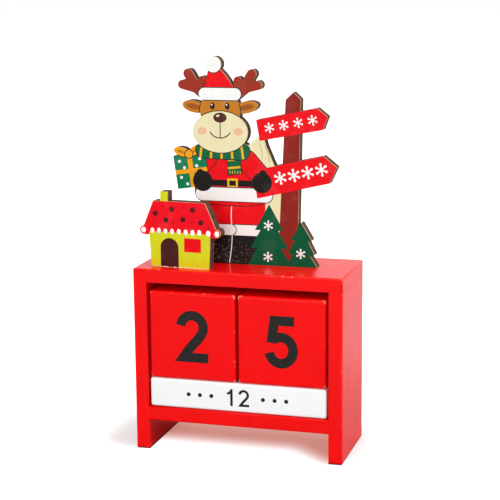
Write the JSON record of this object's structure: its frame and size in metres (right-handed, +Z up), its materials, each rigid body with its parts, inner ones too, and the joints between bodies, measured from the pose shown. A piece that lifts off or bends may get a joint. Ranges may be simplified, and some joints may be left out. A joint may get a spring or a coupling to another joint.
{
  "type": "block calendar",
  "caption": "Desk block calendar: red wooden frame on two legs, number cubes over square month bars that pull out at the front, plywood winter cut-outs on top.",
  "frame": {"origin": "on the floor under the middle of the frame's footprint", "axes": "+Z up, -Y towards the front where the numbers show, +X to the right as seen from the front"},
  "size_m": [0.108, 0.0478, 0.1991],
  "materials": {
    "red_lacquer": "satin red lacquer on wood",
    "cube_paint": "satin red paint on wood, edges worn",
    "bar_paint": "satin white paint on wood",
    "plywood": "plywood with scorched cut edges, front face printed",
    "hardboard": "thin painted board",
    "nail_steel": "plain steel"
  },
  "bodies": {
    "frame": {"side_panel_left": "red_lacquer", "side_panel_right": "red_lacquer", "top_board": "red_lacquer", "bottom_shelf": "red_lacquer", "back_panel": "hardboard", "top_board_nails": "nail_steel", "shelf_nails": "nail_steel", "back_panel_nails": "nail_steel", "figure_plate": "plywood", "house_plate": "plywood", "figure_plate_nails": "nail_steel", "house_plate_nails": "nail_steel"},
    "tens_cube": {"day_cube_left": "cube_paint"},
    "units_cube": {"day_cube_right": "cube_paint"},
    "rear_bar": {"month_bar_rear": "bar_paint"},
    "middle_bar": {"month_bar_middle": "bar_paint"},
    "front_bar": {"month_bar_front": "bar_paint"}
  },
  "joints": [
    {"name": "tens_cube_pull", "type": "slide", "parent": "frame", "child": "tens_cube", "axis": [0, -1, 0], "range_m": [0, 0.06]},
    {"name": "units_cube_pull", "type": "slide", "parent": "frame", "child": "units_cube", "axis": [0, -1, 0], "range_m": [0, 0.06]},
    {"name": "rear_bar_pull", "type": "slide", "parent": "frame", "child": "rear_bar", "axis": [0, -1, 0], "range_m": [0, 0.05]},
    {"name": "middle_bar_pull", "type": "slide", "parent": "rear_bar", "child": "middle_bar", "axis": [0, -1, 0], "range_m": [0, 0.035]},
    {"name": "front_bar_pull", "type": "slide", "parent": "middle_bar", "child": "front_bar", "axis": [0, -1, 0], "range_m": [0, 0.02]}
  ]
}
